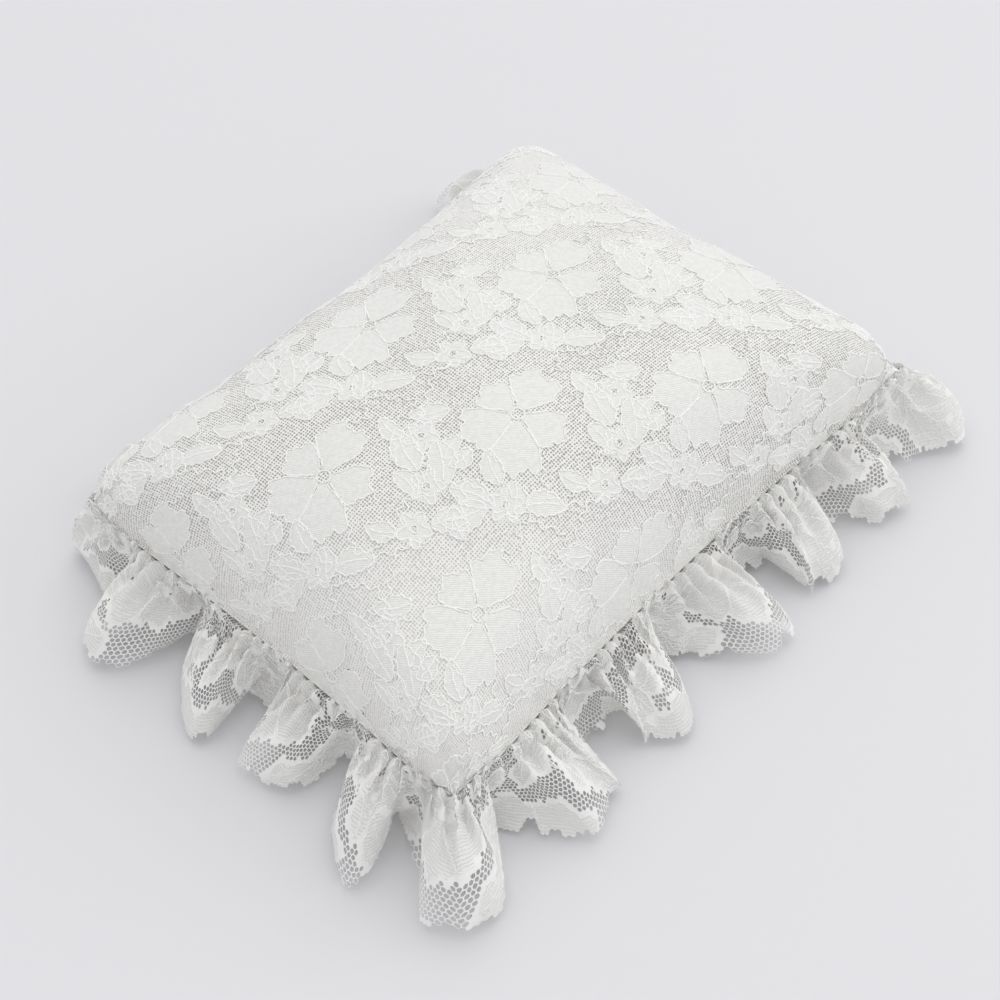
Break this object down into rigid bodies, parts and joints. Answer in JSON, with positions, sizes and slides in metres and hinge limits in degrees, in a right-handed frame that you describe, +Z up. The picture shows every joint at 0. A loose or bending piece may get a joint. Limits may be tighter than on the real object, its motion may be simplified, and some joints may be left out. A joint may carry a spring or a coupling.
{
  "type": "ring bearer pillow",
  "caption": "Stuffed rectangular satin pillow with a lace-covered top and a gathered lace ruffle round its seam, for carrying wedding rings.",
  "frame": {"origin": "on the surface that the pillow lies on, below the middle of the pillow", "axes": "+X along the long side, +Y along the short side, +Z up, away from the surface"},
  "size_m": [0.249, 0.2022, 0.072],
  "materials": {
    "filling": "lofty white polyester fibre",
    "satin": "white satin weave with a soft sheen",
    "panel_lace": "white floral lace: net ground, filled petals and raised cord outlines",
    "ruffle_lace": "white floral lace in one open layer, gathered, with a scalloped edge",
    "thread": "white polyester sewing thread"
  },
  "bodies": {
    "root": {"fibre_fill": "filling", "satin_top_panel": "satin", "satin_bottom_panel": "satin", "lace_overlay": "panel_lace", "lace_ruffle": "ruffle_lace", "gathering_thread": "thread", "seam_thread": "thread", "closing_stitches": "thread", "ruffle_join_thread": "thread"}
  },
  "joints": []
}
